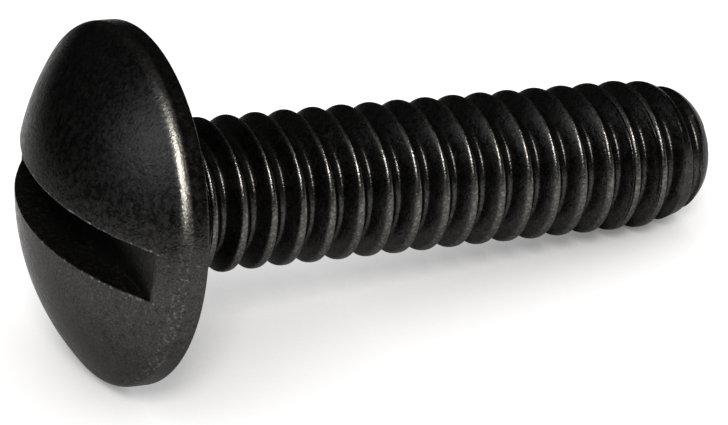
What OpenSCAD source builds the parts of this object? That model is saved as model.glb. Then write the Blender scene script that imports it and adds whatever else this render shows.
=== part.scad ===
/* [Shank] */

// Outside diameter over the thread crests
major_d = 6.14; // [5:0.01:8]
// Length from the bearing face to the end of the tip
length = 25.2; // [16:0.1:50]
// Length over which the crests taper towards the end
taper_len = 2.3; // [1:0.1:4]
// Diameter that the taper would reach at the end
taper_d = 5; // [4.6:0.05:5.6]
// Chamfer on the edge of the flat end face
tip_break = 0.4; // [0.1:0.05:0.6]

/* [Thread] */

// Advance in one turn, 20 threads to the inch
pitch = 1.27; // [0.8:0.01:1.75]
// Radial depth from crest to root
thread_depth = 0.68; // [0.4:0.01:0.9]
// Axial width of the flat on each crest
crest_flat = 0.2; // [0.08:0.01:0.3]
// Angle between the two flanks
flank_angle = 60; // [50:1:70]
// Length over which the grooves run out towards the head
runout = 0.6; // [0.3:0.05:1.5]

/* [Head] */

// Outside diameter of the truss head
head_d = 14.05; // [12:0.05:16]
// Height of the head at its middle
head_h = 3.8; // [3:0.1:5]
// Height of the rim, up to where the dome would meet it
rim_h = 1; // [0.6:0.05:1.4]
// Rounding where the dome meets the rim
rim_round = 0.5; // [0.1:0.05:0.7]
// Rounding at the edge of the bearing face
edge_round = 0.15; // [0.1:0.05:0.3]
// How far the fillet under the head reaches outside the crests
fillet_out = 0.1; // [0.05:0.01:0.3]

/* [Slot] */

// Width of the screwdriver slot
slot_w = 1.95; // [1.4:0.05:2.4]
// Depth of the slot below the top of the dome
slot_depth = 2.05; // [1.5:0.05:2.5]

/* [Rest] */

// Turn of the slot about the axis, from upright
slot_turn = 89; // [0:1:179]
// Turn about the axis at which a groove leaves the bearing face
thread_turn = 167; // [0:1:359]

/* [Hidden] */

major_r = major_d / 2;
root_r = major_r - thread_depth;
head_r = head_d / 2;

// axial run of one flank, and the flat left at the root
flank_run = thread_depth * tan(flank_angle / 2);
root_flat = max(0.05, pitch - crest_flat - 2 * flank_run);

// corners of one turn of the thread as radius and axial distance from the
// middle of its groove
form = [
    [root_r, -root_flat / 2],
    [root_r, root_flat / 2],
    [major_r, root_flat / 2 + flank_run],
    [major_r, root_flat / 2 + flank_run + crest_flat]
];
corners = len(form);
sides = 40;
head_sides = 84;

// the helix begins inside the head, whole turns before the bearing face, and
// runs out past the tip
buried = 1.4;
turns_before = ceil(buried / pitch) + 1;
turns = turns_before + ceil(length / pitch) + 1;
helix_z = -turns_before * pitch;

// the dome's sphere, from the top of the head to the top of the rim, whose
// middle lies on the axis beyond the bearing face
dome_h = head_h - rim_h;
dome_r = (head_r * head_r + dome_h * dome_h) / (2 * dome_h);
dome_z = dome_r - head_h;
// centre of the rounding that blends the dome into the rim
round_r = head_r - rim_round;
round_z = dome_z - sqrt(pow(dome_r - rim_round, 2) - round_r * round_r);
// radius at which the dome gives way to that rounding
blend_r = round_r * dome_r / (dome_r - rim_round);

// neck under the head, as thick as the blank that the thread is rolled from,
// with a fillet whose outer edge is clear of the crests
neck_r = major_r - thread_depth / 2;
seat_r = major_r + fillet_out;
fillet_r = seat_r - neck_r;
faded_r = root_r - 0.1;

// start of the taper, its fall in radius, and the radii at its far edge and
// at the flat end face
taper_z = length - taper_len;
taper_fall = (major_r - taper_d / 2) / taper_len;
edge_r = taper_d / 2 + tip_break * taper_fall;
end_r = edge_r - tip_break;

// where the last whole crest lies on the underside, as the screw rests
under_turn = (360 - thread_turn) % 360;
crest_z = root_flat / 2 + flank_run + helix_z + pitch * under_turn / 360;
past_crest = (taper_z - crest_z) % pitch;
touch_z = past_crest < crest_flat ? taper_z : taper_z - past_crest + crest_flat;

// tilt at which the rim and that crest both touch the ground
reach_r = head_r - edge_round - major_r;
reach_z = touch_z + edge_round;
tilt = atan(reach_r / reach_z) + asin(edge_round / norm([reach_r, reach_z]));
rest_h = major_r * cos(tilt) + touch_z * sin(tilt);

// ends of the resting screw along X, measured from the bearing face
far_left = dome_z * cos(tilt) - dome_r;
far_right = length * cos(tilt) + end_r * sin(tilt);
mid_x = (far_left + far_right) / 2;

steel = [0.085, 0.08, 0.076];

// number of one grid point: row along the thread, column round the axis
function at(row, col) = (row + corners * floor(col / sides)) * sides + col % sides;

// a ridge wound on the shank: rows follow the thread's corners and columns
// go round the axis, and each turn joins the next with no seam
module helix() {
    rows = corners * turns;
    points = [
        for (row = [0 : rows + corners])
            for (col = [0 : sides - 1])
                let (
                    corner = form[row % corners],
                    a = 360 * col / sides,
                    z = helix_z + pitch * (floor(row / corners) + col / sides) + corner[1]
                )
                [corner[0] * cos(a), corner[0] * sin(a), z]
    ];
    low = len(points);
    high = low + 1;
    axis_points = [
        [0, 0, helix_z + pitch / 2],
        [0, 0, helix_z + pitch * (turns + 0.5)]
    ];
    skin = [
        for (row = [0 : rows - 1])
            for (col = [0 : sides - 1])
                for (half = [0, 1])
                    half == 0
                        ? [at(row, col), at(row + 1, col + 1), at(row, col + 1)]
                        : [at(row, col), at(row + 1, col), at(row + 1, col + 1)]
    ];
    low_ring = concat(
        [for (col = [0 : sides]) at(0, col)],
        [for (row = [corners - 1 : -1 : 1]) at(row, 0)]
    );
    high_ring = concat(
        [for (col = [0 : sides]) at(rows, col)],
        [for (row = [corners - 1 : -1 : 1]) at(rows + row, 0)]
    );
    low_cap = [
        for (i = [0 : len(low_ring) - 1])
            [low, low_ring[i], low_ring[(i + 1) % len(low_ring)]]
    ];
    high_cap = [
        for (i = [0 : len(high_ring) - 1])
            [high, high_ring[(i + 1) % len(high_ring)], high_ring[i]]
    ];
    polyhedron(concat(points, axis_points), concat(skin, low_cap, high_cap), convexity = 10);
}

// the envelope that cuts the helix to length, with its taper and end chamfer
module shank_envelope() {
    clear = 0.5;
    rotate_extrude($fn = 96)
        polygon([
            [0, -buried],
            [major_r + clear, -buried],
            [major_r + clear, taper_z - clear / taper_fall],
            [edge_r, length - tip_break],
            [end_r, length],
            [0, length]
        ]);
}

module shank() {
    rotate([0, 0, thread_turn])
        intersection() {
            helix();
            // half a column round, so that no edge of one meets an edge of the other
            rotate([0, 0, 180 / sides])
                shank_envelope();
        }
}

// half section of the head: a dome, a rounded rim and a flat bearing face
module head_section() {
    intersection() {
        translate([0, dome_z])
            circle(r = dome_r, $fn = 360);
        translate([0, -head_h])
            square([blend_r, head_h]);
    }
    translate([round_r, round_z])
        circle(r = rim_round, $fn = 96);
    translate([0, round_z])
        square([head_r, -edge_round - round_z]);
    translate([head_r - edge_round, -edge_round])
        circle(r = edge_round, $fn = 96);
    translate([0, -edge_round])
        square([head_r - edge_round, edge_round]);
}

// half section of the neck: a fillet, then a cone down to the thread's root
module neck_section() {
    difference() {
        polygon([
            [0, -edge_round],
            [seat_r, -edge_round],
            [seat_r, fillet_r],
            [neck_r, fillet_r],
            [faded_r, fillet_r + runout],
            [0, fillet_r + runout]
        ]);
        translate([seat_r, fillet_r])
            circle(r = fillet_r, $fn = 96);
    }
}

module head() {
    difference() {
        // half a side round, so that the rim lies on a side and not on a corner
        rotate([0, 0, 180 / head_sides])
            rotate_extrude($fn = head_sides) {
                head_section();
                neck_section();
            }
        rotate([0, 0, slot_turn])
            translate([-head_r - 1, -slot_w / 2, -head_h - 1])
                cube([head_d + 2, slot_w, slot_depth + 1]);
    }
}

module screw() {
    color(steel)
        translate([-mid_x, 0, rest_h])
            rotate([0, 90 + tilt, 0])
                union() {
                    head();
                    shank();
                }
}

screw();
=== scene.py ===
import math

import bmesh
import bpy
import numpy as np
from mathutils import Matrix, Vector


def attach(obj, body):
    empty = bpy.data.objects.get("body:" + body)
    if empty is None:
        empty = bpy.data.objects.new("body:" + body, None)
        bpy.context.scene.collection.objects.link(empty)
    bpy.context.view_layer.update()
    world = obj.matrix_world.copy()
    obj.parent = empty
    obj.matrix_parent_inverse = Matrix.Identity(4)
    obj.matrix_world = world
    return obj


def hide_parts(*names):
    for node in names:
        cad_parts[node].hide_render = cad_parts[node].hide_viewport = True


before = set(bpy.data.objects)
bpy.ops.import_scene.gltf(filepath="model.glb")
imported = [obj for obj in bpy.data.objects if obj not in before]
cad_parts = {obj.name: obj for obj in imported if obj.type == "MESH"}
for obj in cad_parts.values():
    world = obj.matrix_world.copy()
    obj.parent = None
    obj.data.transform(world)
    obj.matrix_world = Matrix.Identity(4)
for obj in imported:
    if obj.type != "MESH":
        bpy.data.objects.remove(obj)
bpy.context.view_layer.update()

# Sizes of the screw in millimetres, as in the solid model, but with the head a hair inside it
CREST_R = 3.07
THREAD_DEPTH = 0.68
ROOT_R = CREST_R - THREAD_DEPTH
CREST_FLAT = 0.2
FLANK = THREAD_DEPTH * math.tan(math.radians(30))
PITCH = 1.27
THREAD_TURN = math.radians(167)
LENGTH = 25.2
TAPER_Z = 22.9
TAPER_END_R = 2.5
TIP_BREAK = 0.4
HEAD_R = 7.02
HEAD_H = 3.799
RIM_H = 1.0
DOME_R = (HEAD_R**2 + (HEAD_H - RIM_H) ** 2) / (2 * (HEAD_H - RIM_H))
RIM_ROUND = 0.5
EDGE_ROUND = 0.15
SEAT_R = CREST_R + 0.1
NECK_R = CREST_R - THREAD_DEPTH / 2
RUNOUT = 0.6
SLOT_HALF = 1.95 / 2
SLOT_DEPTH = 2.05
SLOT_FLOOR = HEAD_H - SLOT_DEPTH
SLOT_TURN = math.radians(89)

# Placement of the lying screw: its tilt, and the middle of the bearing face
TILT = math.radians(9.7415)
MID_X = 10.6581
REST_H = 6.90049

# Grid of the shank: columns round the axis, and rows over one turn of the thread, given by
# their distance from the middle of the groove and closest together where the laps are
COLS = 108
CREST_AT = PITCH / 2
ROOT_HALF = (PITCH - CREST_FLAT - 2 * FLANK) / 2
HALF_TURN = [0.0, 0.05, 0.09, 0.12, 0.15, 0.19, 0.27, 0.38, 0.46, 0.5, 0.525, 0.545, 0.57, 0.6]
LAP_ROWS = [0.425, 0.44, 0.47, 0.482, 0.493, 0.507, 0.515]
OFFSETS = np.array(sorted([-v for v in HALF_TURN[1:]] + HALF_TURN + LAP_ROWS + [CREST_AT]))
PER_TURN = len(OFFSETS)
FIRST_TURN = -2
LAST_TURN = int(LENGTH / PITCH) + 2

# How softly the forms of the shank run into each other
ROOT_BLEND = 0.07
CREST_BLEND = 0.11
TAPER_BLEND = 0.22
STRAIGHT_BLEND = 0.02
END_BLEND = 0.03
NECK_BLEND = 0.02

# How far the groove's floor and the end of the run-out lie below the root, the crests below
# their full radius, the envelope's straight part above it, and the end face above the root
ROOT_BELOW = 0.012
RUNOUT_BELOW = 0.1
CREST_BELOW = 0.002
STRAIGHT_ABOVE = 0.05
END_ABOVE_ROOT = 0.01

# By up to this much the groove is shallower on the lower near side, and deeper opposite
FILL = 0.13
FILL_TURN = math.radians(20)

# Laps along the crests: where the seam and its lip lie beside the crest's middle, their
# widths, depth and height, how far they wander, and the ends of the shank that have them
SEAM_AT, SEAM_WIDTH, SEAM_DEPTH = -0.132, 0.016, 0.06
LIP_AT, LIP_WIDTH, LIP_HEIGHT = -0.172, 0.022, 0.045
LAP_DRIFT = 0.02
LAP_MEAN = 0.5
TIP_LAPS_FROM, TIP_LAPS_OVER, TIP_LAPS_RAGGED = 19.0, 3.0, 1.4
HEAD_LAPS_TO, HEAD_LAPS_OVER, HEAD_LAPS_RAGGED = 4.2, 2.0, 0.9
HEAD_LAPS_SHARE = 0.7

# Unevenness along the thread: its turns until it repeats, its terms, seed and lowest wave,
# and how much it wears off the crests
NOISE_TURNS = 24
NOISE_ALONG = (90, 3, 4)
CREST_WEAR = 0.008

# Where the shank's grid runs over the bearing face, down the neck and over the end face
BEARING_RING_R = 5.6
NECK_TO = 1.5
END_RUN = 0.65 * PITCH
END_SMALLEST = 0.004

# Grid of the head: lines along the slot, by their distance from its middle or by their
# share of its wall and of its eased edge, then lines over the dome at equal angles
FLOOR_LINES = (0.0, 0.25, 0.5, 0.72, 0.88, SLOT_HALF - 0.02)
WALL_SHARES = (0.02, 0.3, 0.65)
EASE_SHARES = (0.0, 0.25, 0.5, 0.75, 1.0)
DOME_GAPS = (0.04, 0.1, 0.2)
DOME_CLEAR = 0.3
LINE_STEP = math.radians(2.25)

# Points on each line: up to where the slot's floor comes out of the dome, and beyond it at
# each end. Lines farther out than the first number below stop at that share of their length.
INSIDE_POINTS = 91
BEYOND_POINTS = 8
FLOOR_LINES_TO = 1.4
STOP_SHARE = 0.89

# Eased edges of the slot, and their raggedness: share, terms, seed of each side, lowest wave
EDGE_EASE = 0.055
EASE_OF_WALL = 0.4
EDGE_RAGGED = 0.45
EDGE_TERMS = 40
EDGE_SEEDS = ((1, 11), (-1, 12))
EDGE_LOWEST = 6

# Rings down the rim: steps of both roundings, and the two rings between them
RIM_STEPS = 10
EDGE_STEPS = 5
RIM_SHARE = 0.6
ABOVE_EDGE = 0.1

# Mending of the mesh, in metres, and the angle from which an edge stays sharp
MERGE = 2e-7
DEGENERATE = 1e-8
SHARP = math.radians(38)


def to_row(x, y, z):
    """Own frame, z from the bearing face to the tip and x down, to the row frame in metres."""
    s, c = math.sin(TILT), math.cos(TILT)
    return np.stack([-x * s + z * c - MID_X, y, REST_H - x * c - z * s], -1) / 1000


def soft_max(a, b, k):
    return (a + b + np.sqrt((a - b) ** 2 + k * k)) / 2


def soft_min(a, b, k):
    return (a + b - np.sqrt((a - b) ** 2 + k * k)) / 2


def wave_noise(n, terms, seed, lowest):
    """Smooth noise round a circle of n samples, from -1 to 1."""
    draw = np.random.default_rng(seed)
    a = np.arange(n) / n * 2 * math.pi
    out = np.zeros(n)
    for k in range(lowest, lowest + terms):
        out += draw.normal() * np.cos(k * a + draw.uniform(0, 6.3)) / math.sqrt(k)
    return out / np.abs(out).max()


def thread_radius(offset, fill):
    """Radius across one turn: rounded root, straight flanks, crest with eased edges."""
    a = np.abs((offset + PITCH / 2) % PITCH - PITCH / 2)
    flank = ROOT_R + fill + (a - ROOT_HALF) * THREAD_DEPTH / FLANK
    r = soft_max(np.full_like(a, ROOT_R - ROOT_BELOW), flank, ROOT_BLEND)
    return soft_min(r, np.full_like(a, CREST_R), CREST_BLEND)


def envelope(z):
    """Radius that the crests are cut to: straight, then the taper and the end chamfer."""
    fall = (CREST_R - TAPER_END_R) / (LENGTH - TAPER_Z)
    taper = CREST_R - fall * (z - TAPER_Z)
    edge = TAPER_END_R + TIP_BREAK * fall
    chamfer = edge - (z - (LENGTH - TIP_BREAK))
    straight = np.full_like(z, CREST_R + STRAIGHT_ABOVE)
    return soft_min(soft_min(taper, chamfer, TAPER_BLEND), straight, STRAIGHT_BLEND)


def neck(z):
    """Fillet under the head, then a cone on which the grooves run out."""
    round_r = SEAT_R - NECK_R
    down = np.clip(round_r - z, 0, round_r)
    fillet = SEAT_R - np.sqrt(round_r**2 - down**2)
    cone = NECK_R - (z - round_r) * (NECK_R - ROOT_R + RUNOUT_BELOW) / RUNOUT
    return np.where(z < round_r, fillet, cone)


def lap(s, offset, ragged):
    """What the laps that the rolling dies leave along the crests add to the radius."""
    near_tip = np.clip((s - TIP_LAPS_FROM) / TIP_LAPS_OVER, 0, 1)
    near_head = np.clip((HEAD_LAPS_TO - s) / HEAD_LAPS_OVER, 0, 1)
    crest_gap = (offset + PITCH) % PITCH - CREST_AT
    drift = LAP_DRIFT * ragged
    seam = np.exp(-(((crest_gap - SEAM_AT + drift) / SEAM_WIDTH) ** 2))
    lip = np.exp(-(((crest_gap - LIP_AT + drift) / LIP_WIDTH) ** 2))
    at_tip = near_tip * np.clip(LAP_MEAN + TIP_LAPS_RAGGED * ragged, 0, 1)
    at_head = np.clip(LAP_MEAN + HEAD_LAPS_RAGGED * ragged, 0, 1)
    amount = at_tip + HEAD_LAPS_SHARE * near_head * at_head
    return amount * (LIP_HEIGHT * lip - SEAM_DEPTH * seam)


def shank_radius(s, offset, turned):
    """Radius at each grid point, s along the axis and offset across its own turn."""
    fill = FILL * np.cos(turned + FILL_TURN)
    r = thread_radius(offset, fill[None, :])
    around = wave_noise(COLS * NOISE_TURNS, *NOISE_ALONG)
    at = np.floor(s / PITCH).astype(int) * COLS + np.arange(COLS)[None, :]
    ragged = around[at % (COLS * NOISE_TURNS)]
    r = r + lap(s, offset, ragged)
    r = r - CREST_WEAR * (1 + ragged) * np.clip((r - ROOT_R) / THREAD_DEPTH, 0, 1)
    r = soft_min(r, envelope(s), END_BLEND)
    r = np.minimum(r, CREST_R - CREST_BELOW)
    r = np.where(s < NECK_TO, soft_max(r, neck(np.clip(s, 0, NECK_TO)), NECK_BLEND), r)
    return np.where(s < SEAT_R - NECK_R, np.minimum(r, SEAT_R), r)


def shank_mesh():
    """The thread as one grid whose turns share their seam, and the rings of its two ends."""
    turns = LAST_TURN - FIRST_TURN
    rows = turns * PER_TURN
    # one row more than the last turn, so that the seam of its last faces has its points
    row_offsets = np.append(np.tile(OFFSETS, turns + 1), OFFSETS[0])
    row_start = PITCH * (FIRST_TURN + np.arange(len(row_offsets)) // PER_TURN) + row_offsets
    columns = np.arange(COLS)
    s = row_start[:, None] + PITCH * columns[None, :] / COLS
    turned = THREAD_TURN + 2 * math.pi * columns / COLS
    offset = np.tile(row_offsets[:, None], (1, COLS))
    r = shank_radius(s, offset, turned)

    # rows before the bearing face run outwards over it, and rows past the end run inwards
    before, past = s < 0, s > LENGTH
    above_root = np.array([ROOT_R + END_ABOVE_ROOT])
    end_r = float(soft_min(above_root, envelope(np.array([LENGTH])), END_BLEND)[0])
    in_r = end_r * np.clip(1 - (s - LENGTH) / END_RUN, END_SMALLEST, 1)
    out_r = SEAT_R + (BEARING_RING_R - SEAT_R) * np.clip(-s / PITCH, 0, 1)
    r = np.where(past, in_r, np.where(before, out_r, r))
    z = np.where(past, LENGTH, np.where(before, 0.0, s))
    x, y = r * np.cos(turned), r * np.sin(turned)
    points = np.stack([x.ravel(), y.ravel(), z.ravel()], -1)

    def at_grid(row, col):
        return (row + PER_TURN * (col // COLS)) * COLS + col % COLS

    faces = []
    for row in range(rows):
        for col in range(COLS):
            a, b = at_grid(row, col), at_grid(row, col + 1)
            c, d = at_grid(row + 1, col + 1), at_grid(row + 1, col)
            faces.append((a, b, c, d))
    low = [at_grid(0, col) for col in range(COLS)]
    high = [at_grid(rows, col) for col in range(COLS)]
    high += [at_grid(rows + k, 0) for k in range(PER_TURN, 0, -1)]
    return points, faces, low, high


def dome(r2):
    """Height of the dome above the bearing face, from the square of the radius."""
    return HEAD_H - DOME_R + np.sqrt(DOME_R * DOME_R - r2)


def slot_lines(brim):
    """Each line: its distance from the slot's middle, what it lies on, and how far up that."""
    lines = [(w, "floor", 0.0) for w in FLOOR_LINES]
    lines += [(SLOT_HALF, "wall", t) for t in WALL_SHARES]
    lines += [(SLOT_HALF, "ease", t) for t in EASE_SHARES]
    lines += [(SLOT_HALF + EDGE_EASE + gap, "dome", 0.0) for gap in DOME_GAPS]
    k = 1
    while k * LINE_STEP < math.pi / 2 - 1e-6:
        w = brim * math.sin(k * LINE_STEP)
        if w > SLOT_HALF + EDGE_EASE + DOME_CLEAR:
            lines.append((w, "dome", 0.0))
        k += 1
    return [(-w, kind, t) for w, kind, t in lines[:0:-1]] + lines


def line_form(kind, t, a, u, ragged):
    """Distance from the slot's middle and height of the points u along one line."""
    across = np.full_like(u, a)
    top = dome(u * u + a * a)
    if kind == "dome":
        return across, top
    if kind == "floor":
        return across, np.minimum(top, SLOT_FLOOR)
    wall = np.clip(top - SLOT_FLOOR, 0, None)
    ease = np.minimum(EDGE_EASE * (1 + EDGE_RAGGED * ragged), EASE_OF_WALL * wall)
    edge = dome(u * u + (SLOT_HALF + ease) ** 2)
    if kind == "wall":
        rise = np.clip(edge - ease - SLOT_FLOOR, 0, None)
        return across, np.where(wall > 0, SLOT_FLOOR + t * rise, top)
    q = t * math.pi / 2
    across = SLOT_HALF + ease * (1 - math.cos(q))
    return across, np.where(wall > 0, edge - ease * (1 - math.sin(q)), top)


def rim_section(round_r, round_h):
    """Radius and height of the rings from the dome's brim down to the bearing face."""
    lean = math.atan2(round_r, round_h - (HEAD_H - DOME_R))
    section = []
    for t in np.linspace(0, 1, RIM_STEPS + 1)[1:]:
        q = lean + t * (math.pi / 2 - lean)
        section.append((round_r + RIM_ROUND * math.sin(q), round_h + RIM_ROUND * math.cos(q)))
    section += [(HEAD_R, round_h * RIM_SHARE), (HEAD_R, EDGE_ROUND + ABOVE_EDGE)]
    for t in np.linspace(0, 1, EDGE_STEPS + 1):
        q = t * math.pi / 2
        section.append((HEAD_R - EDGE_ROUND * (1 - math.cos(q)), EDGE_ROUND * (1 - math.sin(q))))
    return section


def head_mesh():
    """Dome and slot as one grid of lines along the slot, then rings down the rim."""
    round_r = HEAD_R - RIM_ROUND
    round_h = HEAD_H - DOME_R + math.sqrt((DOME_R - RIM_ROUND) ** 2 - round_r**2)
    brim = round_r * DOME_R / (DOME_R - RIM_ROUND)
    # square of the radius at which the slot's floor comes out of the dome
    break2 = DOME_R**2 - (SLOT_FLOOR - HEAD_H + DOME_R) ** 2
    inside = np.linspace(-1, 1, INSIDE_POINTS)
    outside = np.linspace(0, 1, BEYOND_POINTS + 1)[1:]
    per_line = INSIDE_POINTS + 2 * BEYOND_POINTS
    ragged = {}
    for side, seed in EDGE_SEEDS:
        ragged[side] = np.clip(wave_noise(per_line, EDGE_TERMS, seed, EDGE_LOWEST), -1, 1)
    grid = []
    for w, kind, t in slot_lines(brim):
        a = abs(w)
        side = 1 if w >= 0 else -1
        far = math.sqrt(max(brim**2 - a * a, 0))
        stop = math.sqrt(break2 - a * a) if a < FLOOR_LINES_TO else far * STOP_SHARE
        beyond = (far - stop) * outside
        u = np.concatenate([-stop - beyond[::-1], stop * inside, stop + beyond])
        across, h = line_form(kind, t, a, u, ragged[side])
        grid.append((u, side * across, h))
    u, w, h = np.array(grid).transpose(1, 0, 2)
    c, s = math.cos(SLOT_TURN), math.sin(SLOT_TURN)
    points = [np.stack([(u * c - w * s).ravel(), (u * s + w * c).ravel(), -h.ravel()], -1)]
    n_line, n_u = u.shape
    faces = []
    for line in range(n_line - 1):
        for k in range(n_u - 1):
            p = line * n_u + k
            faces.append((p, p + n_u, p + n_u + 1, p + 1))

    # a point on the brim closes the grid beyond its first and its last line
    count = n_line * n_u
    poles = []
    for side, line in ((-1, 0), (1, n_line - 1)):
        pole_w = side * brim
        points.append(np.array([[-pole_w * s, pole_w * c, -dome(brim**2)]]))
        poles.append(count)
        for k in range(n_u - 1):
            p = line * n_u + k
            faces.append((count, p, p + 1) if side < 0 else (count, p + 1, p))
        count += 1

    # rings from the grid's edge down the rim
    ring = [poles[0]] + [line * n_u + n_u - 1 for line in range(n_line)] + [poles[1]]
    ring += [line * n_u for line in range(n_line - 1, -1, -1)]
    edge = np.concatenate(points)[ring]
    angle = np.arctan2(edge[:, 1], edge[:, 0])
    n = len(ring)
    for r, height in rim_section(round_r, round_h):
        points.append(np.stack([r * np.cos(angle), r * np.sin(angle), np.full(n, -height)], -1))
        new = list(range(count, count + n))
        count += n
        for k in range(n):
            after = (k + 1) % n
            faces.append((ring[k], ring[after], new[after], new[k]))
        ring = new
    return np.concatenate(points), faces, ring


def zip_rings(points, outer, inner):
    """Triangles between two rings on one plane, walking both round by angle."""
    def by_angle(ring):
        a = np.arctan2(points[ring, 1], points[ring, 0]) % (2 * math.pi)
        order = np.argsort(a)
        return [ring[k] for k in order], a[order]

    far, far_at = by_angle(outer)
    near, near_at = by_angle(inner)
    i = j = 0
    faces = []
    while i < len(far) or j < len(near):
        next_far = far_at[i + 1] if i + 1 < len(far) else far_at[0] + 2 * math.pi
        next_near = near_at[j + 1] if j + 1 < len(near) else near_at[0] + 2 * math.pi
        a, b = far[i % len(far)], near[j % len(near)]
        if j >= len(near) or (i < len(far) and next_far <= next_near):
            faces.append((a, far[(i + 1) % len(far)], b))
            i += 1
        else:
            faces.append((a, near[(j + 1) % len(near)], b))
            j += 1
    return faces


def screw_object():
    """Shank and head in one mesh, closed over the end face and over the bearing face."""
    shank_points, shank_faces, low, high = shank_mesh()
    head_points, head_faces, rim = head_mesh()
    shift = len(shank_points)
    points = np.concatenate([shank_points, head_points, [[0.0, 0.0, LENGTH]]])
    tip = len(points) - 1
    faces = shank_faces + [tuple(v + shift for v in face) for face in head_faces]
    faces += [(tip, high[k], high[(k + 1) % len(high)]) for k in range(len(high))]
    faces += zip_rings(points, [v + shift for v in rim], low)
    mesh = bpy.data.meshes.new("screw_steel")
    mesh.from_pydata(to_row(points[:, 0], points[:, 1], points[:, 2]).tolist(), [], faces)
    bm = bmesh.new()
    bm.from_mesh(mesh)
    bmesh.ops.remove_doubles(bm, verts=bm.verts, dist=MERGE)
    bmesh.ops.dissolve_degenerate(bm, edges=bm.edges, dist=DEGENERATE)
    bmesh.ops.delete(bm, geom=[v for v in bm.verts if not v.link_faces], context="VERTS")
    bmesh.ops.recalc_face_normals(bm, faces=bm.faces)
    bm.to_mesh(mesh)
    bm.free()
    for polygon in mesh.polygons:
        polygon.use_smooth = True
    mesh.set_sharp_from_angle(angle=SHARP)
    obj = bpy.data.objects.new("screw_steel", mesh)
    bpy.context.collection.objects.link(obj)
    return obj


class Graph:
    """Builds a material's nodes with short calls, in which a value is a socket or a number."""

    def __init__(self, material):
        material.use_nodes = True
        self.nodes = material.node_tree.nodes
        self.link = material.node_tree.links.new

    def node(self, kind, **values):
        made = self.nodes.new("ShaderNode" + kind)
        for key, value in values.items():
            if key in made.inputs:
                made.inputs[key].default_value = value
            else:
                setattr(made, key, value)
        return made

    def calc(self, operation, *values):
        made = self.node("Math", operation=operation)
        for socket, value in zip(made.inputs, values):
            if isinstance(value, (int, float)):
                socket.default_value = value
            else:
                self.link(value, socket)
        return made.outputs["Value"]

    def fold(self, operation, first, *rest):
        for value in rest:
            first = self.calc(operation, first, value)
        return first

    def times(self, *values):
        return self.fold("MULTIPLY", *values)

    def plus(self, *values):
        return self.fold("ADD", *values)

    def highest(self, *values):
        return self.fold("MAXIMUM", *values)

    def weighted(self, *pairs):
        return self.plus(*[self.times(value, share) for value, share in pairs])

    def between(self, value, low, high, to_low=0.0, to_high=1.0):
        """Smooth step: to_low where the value is at low, and to_high where it is at high."""
        made = self.node("MapRange", interpolation_type="SMOOTHSTEP")
        limits = {"From Min": low, "From Max": high, "To Min": to_low, "To Max": to_high}
        for name, limit in limits.items():
            made.inputs[name].default_value = limit
        self.link(value, made.inputs["Value"])
        return made.outputs["Result"]

    def vector(self, operation, first, second=None):
        made = self.node("VectorMath", operation=operation)
        self.link(first, made.inputs[0])
        if second is not None:
            made.inputs[1].default_value = second
        return made

    def less(self, vector, origin):
        return self.vector("SUBTRACT", vector, origin).outputs["Vector"]

    def dot(self, vector, direction):
        return self.vector("DOT_PRODUCT", vector, direction).outputs["Value"]

    def size(self, vector):
        return self.vector("LENGTH", vector).outputs["Value"]

    def mix(self, factor, under, colour):
        made = self.node("Mix", data_type="RGBA")
        self.link(factor, made.inputs["Factor"])
        self.link(under, made.inputs["A"])
        made.inputs["B"].default_value = colour
        return made.outputs["Result"]


# Directions in the row frame: along the axis, square to it towards the side that is lowest
# in the photograph, and across the slot
AXIS = (math.cos(TILT), 0, -math.sin(TILT))
LOWER_SIDE = (-0.146, -0.503, -0.852)
SLOT_ACROSS = (0.1692, 0.0175, 0.9855)

# Colours of the steel: the black skin at its darkest and lightest, worn, bare with a painted
# highlight, at glancing angles, and the span of the skin's tone from darkest to lightest
SKIN_DARK = (0.0215, 0.0213, 0.0222, 1)
SKIN_LIGHT = (0.074, 0.072, 0.0685, 1)
WORN = (0.19, 0.185, 0.17, 1)
BARE_AND_HIGHLIGHT = (0.33, 0.322, 0.3, 1)
EDGE_TINT = (0.6, 0.6, 0.6, 1)
TONE_SPAN = (0.36, 0.64)

# Noises in the steel: how fine, how detailed and how rough each is
GRAIN = (6.5, 4.0, 0.6)
FINE = (13.0, 2.0, 0.6)
CLOUD = (1.1, 3.0, 0.55)
BLOT = (3.2, 2.0, 0.5)
SPECK = (9.5, 2.0, 0.5)
TRAIL = (7.5, 2.0, 0.5)
BEAD = (5.5, 1.0, 0.5)
NICK = (4.5, 3.0, 0.6)

# Steps of those noises, from no wear to full wear
SPECK_STEP = (0.46, 0.66)
TRAIL_STEP = (0.54, 0.68)
BEAD_STEP = (0.69, 0.74)
NICK_STEP = (0.54, 0.64)

# Steps in millimetres, from where a zone of the steel is not to where it is full: R out from
# the axis, Z along it from the bearing face and negative on the head, SIDE towards the lower
# side, and OFF away from the slot's middle. A step of four numbers ends with its two levels.
CREST_R_STEP, CREST_Z_STEP = (2.9, 3.05), (0.2, 0.4)
TRAIL_R_STEP, TRAIL_Z_STEP = (6.7, 6.82), (-0.78, -0.88)
# The rubbed shoulder's steps also bound its painted highlight, on the side where the key lamp's
# reflection falls
RUBBED_HIGHLIGHT_R_STEP = (6.66, 6.84)
RUBBED_HIGHLIGHT_Z_STEP, RUBBED_HIGHLIGHT_TOP_STEP = (-0.64, -0.8), (-1.21, -1.02)
RUBBED_HIGHLIGHT_LOW_SIDE_STEP, RUBBED_HIGHLIGHT_HIGH_SIDE_STEP = (2.6, 0.4), (-6.3, -3.0, 0.1, 1.0)
NICK_OFF, NICK_OFF_STEP, NICK_Z_STEP = 1.025, (0.07, 0.035), (-1.3, -1.6)
SLOT_OFF_STEP, SLOT_Z_STEP = (0.99, 0.977), (-1.7, -1.74)
SHANK_Z_STEP = (-0.1, 0.1)

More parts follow.
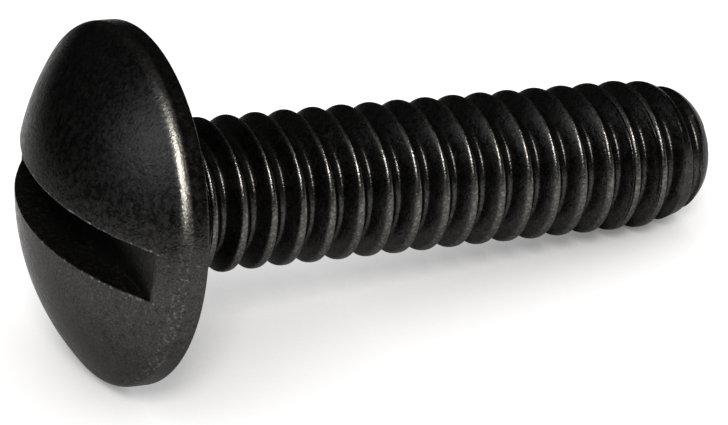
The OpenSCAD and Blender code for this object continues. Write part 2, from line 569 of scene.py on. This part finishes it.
# Strength of each wear, and of the specks in it
CREST_WORN, CREST_SPECKS = 0.25, 0.6
TRAIL_WORN = 0.5
BEAD_WORN = 0.3
NICK_WORN = 0.9
SCRATCH_WORN, SCRATCH_SPECKS = 0.3, 0.4
# The rubbed shoulder's bare colour is partly a painted highlight
RUBBED_HIGHLIGHT_BARE, RUBBED_HIGHLIGHT_SPECKS = 0.55, 0.45

# Roughness: in blots from one level to another, and of the shank, the rubbed part, the slot
ROUGH_STEP = (0.38, 0.62, 0.22, 0.35)
SHANK_ROUGH, SHANK_EVEN = 0.285, 0.6
RUBBED_ROUGH = 0.385
SLOT_ROUGH = 0.42

# Pits: depth in metres, strength, and how much stronger where the shoulder is rubbed
PIT_DEPTH = 0.00004
PIT_STRENGTH, PIT_RUBBED = 0.6, 0.4

# Two short scratches on the thread, in millimetres: where each starts, its directions
# along, across and outwards, and its length
SCRATCHES = [
    {
        "start": (-2.828, -0.162, 8.443),
        "along": (0.7211, -0.6516, -0.2354),
        "across": (-0.6724, -0.7401, -0.0113),
        "out": (0.167, -0.166, 0.972),
        "length": 0.95,
    },
    {
        "start": (-4.845, -1.009, 8.607),
        "along": (0.9485, 0.3113, -0.0588),
        "across": (0.273, -0.8973, -0.3468),
        "out": (0.161, -0.313, 0.936),
        "length": 0.756,
    },
]
SCRATCH_ACROSS_STEP = (0.05, 0.02)
SCRATCH_OUT_STEP = (-0.9, -0.7)
SCRATCH_BEFORE, SCRATCH_WITHIN = 0.05, 0.15


def black_oxide():
    """Black-oxide steel: near-black skin, fine grain, brighter wear on the high edges, and a
    painted highlight on the rubbed shoulder.
    """
    material = bpy.data.materials.new("black_oxide")
    g = Graph(material)
    shader = g.nodes["Principled BSDF"]
    times, between = g.times, g.between

    # the place on the steel in millimetres: along the axis from the bearing face, out from
    # the axis, towards the lower side, and away from the slot's middle
    mapping = g.node("Mapping", Scale=(1000, 1000, 1000))
    g.link(g.node("TexCoord").outputs["Object"], mapping.inputs["Vector"])
    mm = mapping.outputs["Vector"]
    away = g.less(mm, (-MID_X, 0, REST_H))
    z = g.dot(away, AXIS)
    out2 = g.calc("SUBTRACT", g.calc("POWER", g.size(away), 2.0), times(z, z))
    radius = g.calc("SQRT", g.highest(out2, 0.0))
    low_side = g.dot(away, LOWER_SIDE)
    off_middle = g.calc("ABSOLUTE", g.dot(away, SLOT_ACROSS))

    def noise(scale, detail, rough):
        made = g.node("TexNoise", Scale=scale, Detail=detail, Roughness=rough)
        g.link(mm, made.inputs["Vector"])
        return made.outputs["Fac"]

    grain, fine, cloud, blot = noise(*GRAIN), noise(*FINE), noise(*CLOUD), noise(*BLOT)
    speck = between(noise(*SPECK), *SPECK_STEP)

    # the black skin
    skin = g.node("ValToRGB")
    dark, light = skin.color_ramp.elements
    dark.position, light.position = TONE_SPAN
    dark.color, light.color = SKIN_DARK, SKIN_LIGHT
    small = g.weighted((fine, 0.46), (grain, 0.24))
    broad = g.weighted((blot, 0.2), (cloud, 0.1))
    g.link(g.plus(small, broad), skin.inputs["Fac"])

    # wear in specks on the crests, in a thin trail round the shoulder of the head, in small
    # bright beads all over, and in nicks on the slot's edges
    crest = times(between(radius, *CREST_R_STEP), between(z, *CREST_Z_STEP))
    crest_wear = times(crest, g.plus(times(speck, CREST_SPECKS), CREST_WORN))
    trail = times(between(radius, *TRAIL_R_STEP), between(z, *TRAIL_Z_STEP))
    trail_wear = times(trail, between(noise(*TRAIL), *TRAIL_STEP), TRAIL_WORN)
    bead_wear = times(between(noise(*BEAD), *BEAD_STEP), BEAD_WORN)
    from_edge = g.calc("ABSOLUTE", g.calc("SUBTRACT", off_middle, NICK_OFF))
    slot_edge = times(between(from_edge, *NICK_OFF_STEP), between(z, *NICK_Z_STEP))
    nick_wear = times(slot_edge, times(between(noise(*NICK), *NICK_STEP), NICK_WORN))
    worn = g.highest(crest_wear, trail_wear, bead_wear, nick_wear)

    # the scratches
    for scratch in SCRATCHES:
        place = g.less(mm, scratch["start"])
        run = g.dot(place, scratch["along"])
        length = scratch["length"]
        line = times(
            between(g.calc("ABSOLUTE", g.dot(place, scratch["across"])), *SCRATCH_ACROSS_STEP),
            between(run, -SCRATCH_BEFORE, SCRATCH_WITHIN),
            between(run, length + SCRATCH_BEFORE, length - SCRATCH_WITHIN),
            between(g.dot(place, scratch["out"]), *SCRATCH_OUT_STEP),
        )
        specked = g.plus(times(speck, SCRATCH_SPECKS), SCRATCH_WORN)
        worn = g.highest(worn, times(line, specked))

    # the shoulder is rubbed bare, with a painted highlight, from near its highest side to a
    # little below the middle
    shoulder = times(between(radius, *RUBBED_HIGHLIGHT_R_STEP), between(z, *RUBBED_HIGHLIGHT_Z_STEP))
    shoulder = times(shoulder, between(z, *RUBBED_HIGHLIGHT_TOP_STEP))
    polish_and_highlight = times(shoulder, between(low_side, *RUBBED_HIGHLIGHT_LOW_SIDE_STEP))
    polish_and_highlight = times(polish_and_highlight, between(low_side, *RUBBED_HIGHLIGHT_HIGH_SIDE_STEP))
    rubbed_and_highlight = times(polish_and_highlight, g.plus(times(speck, RUBBED_HIGHLIGHT_SPECKS), RUBBED_HIGHLIGHT_BARE))
    colour = g.mix(worn, skin.outputs["Color"], WORN)
    g.link(g.mix(rubbed_and_highlight, colour, BARE_AND_HIGHLIGHT), shader.inputs["Base Color"])

    # roughness in blots on the head, more even on the shank, and duller where the shoulder
    # is rubbed and in the milled slot
    rough = between(g.weighted((grain, 0.5), (blot, 0.5)), *ROUGH_STEP)
    on_shank = times(between(z, *SHANK_Z_STEP), SHANK_EVEN)
    rough = times(rough, g.calc("SUBTRACT", 1.0, on_shank))
    rough = g.plus(rough, times(on_shank, SHANK_ROUGH))
    in_slot = times(between(off_middle, *SLOT_OFF_STEP), between(z, *SLOT_Z_STEP))
    rough = g.highest(rough, times(polish_and_highlight, RUBBED_ROUGH), times(in_slot, SLOT_ROUGH))
    g.link(rough, shader.inputs["Roughness"])

    # shallow pits
    bump = g.node("Bump", Distance=PIT_DEPTH)
    g.link(g.plus(times(polish_and_highlight, PIT_RUBBED), PIT_STRENGTH), bump.inputs["Strength"])
    g.link(g.weighted((grain, 0.5), (blot, 0.25), (fine, 0.25)), bump.inputs["Height"])
    g.link(bump.outputs["Normal"], shader.inputs["Normal"])
    shader.inputs["Metallic"].default_value = 1.0
    shader.inputs["Specular Tint"].default_value = EDGE_TINT
    return material


screw = screw_object()
screw.data.materials.append(black_oxide())
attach(screw, "root")
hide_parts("screw")

# Camera, at the photograph's angle
AZIMUTH = math.radians(-27.426)
ELEVATION = math.radians(31.09)
CAMERA_AT = (-0.059956, -0.114547, 0.081432)
cam_data = bpy.data.cameras.new("camera")
cam_data.lens = 187.58
cam_data.sensor_width = 36
cam_data.clip_start = 0.005
cam_data.clip_end = 10
camera = bpy.data.objects.new("camera", cam_data)
bpy.context.collection.objects.link(camera)
back = Vector((
    math.sin(AZIMUTH) * math.cos(ELEVATION),
    -math.cos(AZIMUTH) * math.cos(ELEVATION),
    math.sin(ELEVATION),
))
camera.rotation_euler = back.to_track_quat("Z", "Y").to_euler()
camera.location = CAMERA_AT
bpy.context.scene.camera = camera

# The floor is one triangle, so that no edge of it runs under the screw
FLOOR_CORNERS = [(-1.5, -0.8, 0), (1.5, -0.8, 0), (0, 1.8, 0)]

# Light of the floor, in metres: from where to where it fades towards the back left, from
# where to where it ends all round, and how far the shade under the screw reaches
FADE_TOWARDS = (-0.454, 0.891, 0)
FADE_STEP = (0.018, 0.06, 1.0, 0.0)
RING_STEP = (0.1, 0.15, 1.0, 0.0)
SHADE_REACH = 0.01
SHADE_SAMPLES = 16

# Its levels: the diffuse grey, the powers of the shade as seen by the camera and in the
# steel, and the glow seen in the steel
FLOOR_GREY = 0.3
SHADE_DIRECT = 0.8
SHADE_MIRRORED = 2.2
MIRRORED_GLOW = 0.95


def white_floor():
    """White to the camera, and seen in the steel as ground that is lit only near the screw."""
    material = bpy.data.materials.new("floor_white")
    g = Graph(material)
    g.nodes.clear()
    place = g.node("TexCoord").outputs["Object"]
    fade = g.between(g.dot(place, FADE_TOWARDS), *FADE_STEP)
    lit = g.times(fade, g.between(g.size(place), *RING_STEP))

    # diffuse grey, on which the lamps cast the screw's shadow
    grey = g.node("CombineColor")
    level = g.times(lit, FLOOR_GREY)
    for channel in grey.inputs[:3]:
        g.link(level, channel)
    diffuse = g.node("BsdfDiffuse")
    g.link(grey.outputs[0], diffuse.inputs["Color"])

    # glow for the camera's rays and for mirrored ones, darker close under the screw
    near = g.node("AmbientOcclusion", samples=SHADE_SAMPLES, Distance=SHADE_REACH).outputs["AO"]
    ray = g.node("LightPath").outputs
    direct = g.times(ray["Is Camera Ray"], g.calc("POWER", near, SHADE_DIRECT))
    mirrored = g.highest(ray["Is Glossy Ray"], ray["Is Transmission Ray"])
    mirrored = g.times(mirrored, g.times(lit, g.calc("POWER", near, SHADE_MIRRORED)))
    glow = g.node("Emission", Color=(1, 1, 1, 1))
    g.link(g.highest(direct, g.times(mirrored, MIRRORED_GLOW)), glow.inputs["Strength"])

    both = g.node("AddShader")
    g.link(diffuse.outputs[0], both.inputs[0])
    g.link(glow.outputs[0], both.inputs[1])
    g.link(both.outputs[0], g.node("OutputMaterial").inputs["Surface"])
    return material


floor_mesh = bpy.data.meshes.new("floor")
floor_mesh.from_pydata(FLOOR_CORNERS, [], [(0, 1, 2)])
floor_mesh.materials.append(white_floor())
floor = bpy.data.objects.new("floor", floor_mesh)
bpy.context.collection.objects.link(floor)

# Studio light: a warm key lamp from the front, a weak cool one from the left, a dim world
LAMPS_AIM = Vector((0, 0, 0.007))
WORLD_LEVEL = 0.06


def square_lamp(name, where, width, watts, colour):
    data = bpy.data.lights.new(name, "AREA")
    data.shape = "RECTANGLE"
    data.size = data.size_y = width
    data.energy = watts
    data.color = colour
    lamp = bpy.data.objects.new(name, data)
    bpy.context.collection.objects.link(lamp)
    lamp.location = where
    lamp.rotation_euler = (Vector(where) - LAMPS_AIM).to_track_quat("Z", "Y").to_euler()


square_lamp("key", (-0.242, -0.496, 0.582), 0.2, 7.0, (1.0, 0.96, 0.9))
square_lamp("side", (-0.66, 0.03, 0.46), 0.4, 0.7, (0.92, 0.96, 1.0))

world = bpy.data.worlds.new("world")
bpy.context.scene.world = world
world.use_nodes = True
background = world.node_tree.nodes["Background"]
background.inputs["Color"].default_value = (1, 1, 1, 1)
background.inputs["Strength"].default_value = WORLD_LEVEL

bpy.context.scene.view_settings.view_transform = "Standard"
